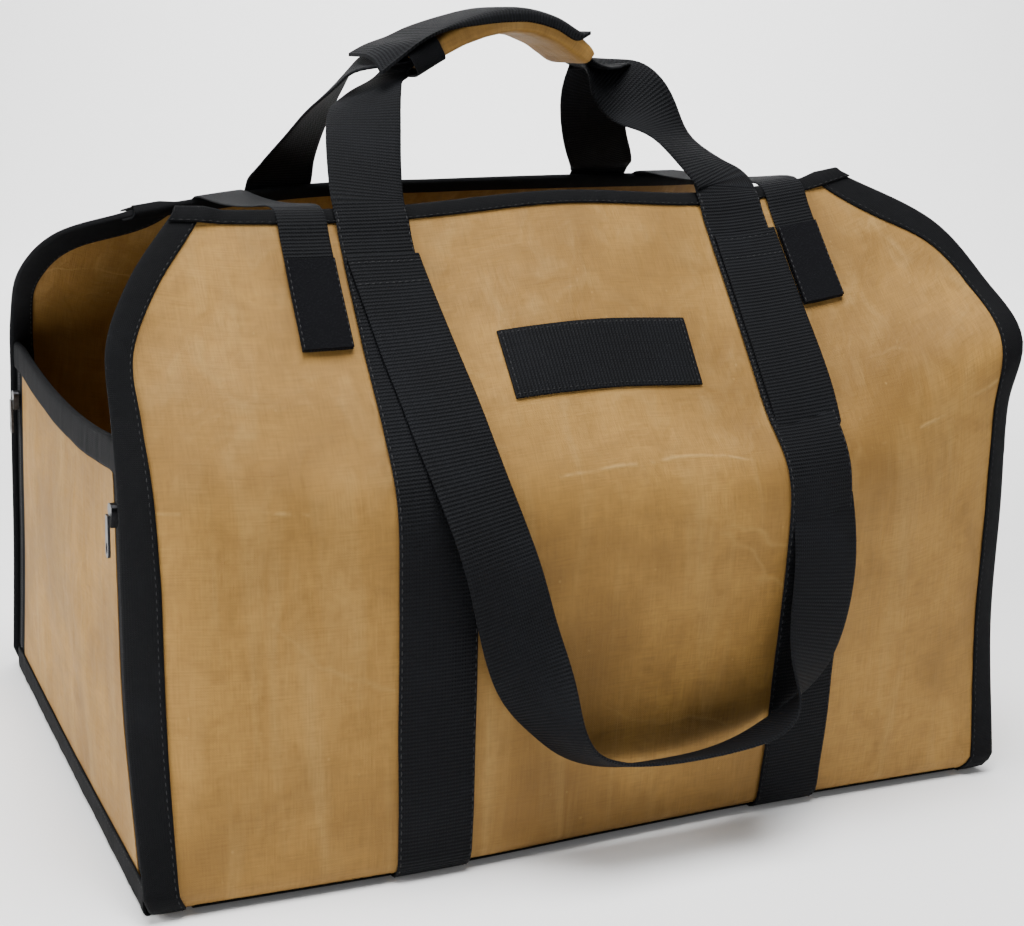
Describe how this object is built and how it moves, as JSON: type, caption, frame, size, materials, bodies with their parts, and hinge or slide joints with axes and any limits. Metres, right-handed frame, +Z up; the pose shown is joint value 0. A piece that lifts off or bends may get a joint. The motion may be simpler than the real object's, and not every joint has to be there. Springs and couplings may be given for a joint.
{
  "type": "canvas log carrier",
  "caption": "Waxed canvas firewood carrier: a wide body with tapered top corners, open end panels, webbing handles with a padded grip, hanging loops and closure straps.",
  "frame": {"origin": "centre of the footprint, on the floor the bag stands on", "axes": "+X along the bag's width to its right end, +Y from the front wall to the back wall, +Z up"},
  "size_m": [0.4878, 0.4316, 0.4103],
  "materials": {
    "waxed_canvas": "waxed tan canvas, creased and streaked, low sheen",
    "webbing": "ribbed charcoal-black webbing, matt",
    "edge_binding": "black woven tape, matt, stitched",
    "hook_and_loop": "black hook tape, very matt",
    "zip_tape": "black zip tape with a nylon coil",
    "zip_metal": "dark nickel, worn at its edges"
  },
  "bodies": {
    "root": {"base_binding_left": "edge_binding", "base_binding_right": "edge_binding", "body_canvas": "waxed_canvas", "carry_webbing_back": "webbing", "carry_webbing_front": "webbing", "closure_strap_left": "webbing", "closure_strap_right": "webbing", "edge_binding_back_left": "edge_binding", "edge_binding_back_right": "edge_binding", "edge_binding_front_left": "edge_binding", "edge_binding_front_right": "edge_binding", "end_panel_left": "waxed_canvas", "end_panel_right": "waxed_canvas", "front_patch": "webbing", "grip_cuff": "edge_binding", "grip_flap": "webbing", "grip_pad": "waxed_canvas", "hanging_loop_back": "webbing", "hanging_loop_front": "webbing", "hook_patch_left": "hook_and_loop", "hook_patch_right": "hook_and_loop", "scoop_binding_left": "edge_binding", "scoop_binding_right": "edge_binding", "top_binding_back": "edge_binding", "top_binding_front": "edge_binding", "zip_pull_back_left": "zip_metal", "zip_pull_back_right": "zip_metal", "zip_pull_front_left": "zip_metal", "zip_pull_front_right": "zip_metal", "zip_slider_back_left": "zip_metal", "zip_slider_back_right": "zip_metal", "zip_slider_front_left": "zip_metal", "zip_slider_front_right": "zip_metal", "zip_tape_back_left": "zip_tape", "zip_tape_back_right": "zip_tape", "zip_tape_front_left": "zip_tape", "zip_tape_front_right": "zip_tape"}
  },
  "joints": []
}
